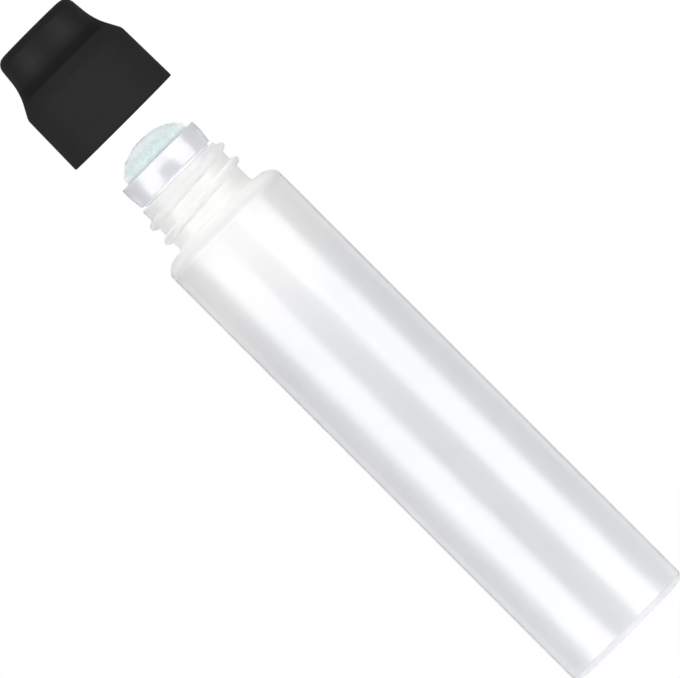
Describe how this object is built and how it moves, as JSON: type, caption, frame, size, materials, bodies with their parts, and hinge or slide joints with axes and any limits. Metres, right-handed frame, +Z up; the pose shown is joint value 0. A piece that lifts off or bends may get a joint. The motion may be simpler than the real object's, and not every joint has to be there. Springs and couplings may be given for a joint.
{
  "type": "empty paint marker",
  "caption": "Squeezable milky plastic paint marker bottle with a domed felt nib on a spring valve, steel mixing balls and a black screw cap taken off above the nib.",
  "frame": {"origin": "middle of the flat base that the marker stands on", "axes": "+Z up the marker's axis towards the nib and the cap, +X to the right of the picture's view, +Y away from its camera"},
  "size_m": [0.03, 0.03, 0.1692],
  "materials": {
    "bottle": "milky polyethylene, blow moulded, half gloss",
    "nib_holder": "white polypropylene, moulded, half gloss",
    "valve_plastic": "white polypropylene, moulded",
    "nib_felt": "pale aqua needled polyester felt",
    "seal": "soft grey elastomer, matte",
    "spring": "drawn stainless wire",
    "ball": "polished stainless steel",
    "cap": "black polypropylene, fine matte mould texture"
  },
  "bodies": {
    "barrel": {"bottle": "bottle", "nib_holder": "nib_holder", "valve_retainer": "valve_plastic", "valve_spring": "spring"},
    "nib": {"nib_felt": "nib_felt", "nib_carrier": "valve_plastic", "valve_poppet": "valve_plastic", "valve_seal": "seal"},
    "ball_1": {"mixing_ball_1": "ball"},
    "ball_2": {"mixing_ball_2": "ball"},
    "cap_ring": {"cap_seal_ring": "seal"},
    "cap": {"cap": "cap"}
  },
  "joints": [
    {"name": "nib_press", "type": "slide", "parent": "barrel", "child": "nib", "axis": [0, 0, -1], "range_m": [0, 0.0015], "stiffness_N_per_m": 600, "springref_m": -0.002, "deforming": ["valve_spring"]},
    {"name": "ball_1_travel", "type": "slide", "parent": "barrel", "child": "ball_1", "axis": [0, 0, 1], "range_m": [0, 0.107]},
    {"name": "ball_2_travel", "type": "slide", "parent": "barrel", "child": "ball_2", "axis": [0, 0, 1], "range_m": [0, 0.107]},
    {"name": "cap_lift", "type": "slide", "parent": "barrel", "child": "cap_ring", "axis": [0, 0, 1], "range_m": [-0.0251, 0]},
    {"name": "cap_turn", "type": "hinge", "parent": "cap_ring", "child": "cap", "pos_m": [0, 0, 0.143], "axis": [0, 0, 1], "range_deg": [-2250, 0]}
  ],
  "couplings": [
    {"joint": "cap_lift", "follows": "cap_turn", "m_per_rad": 0.00063662}
  ]
}
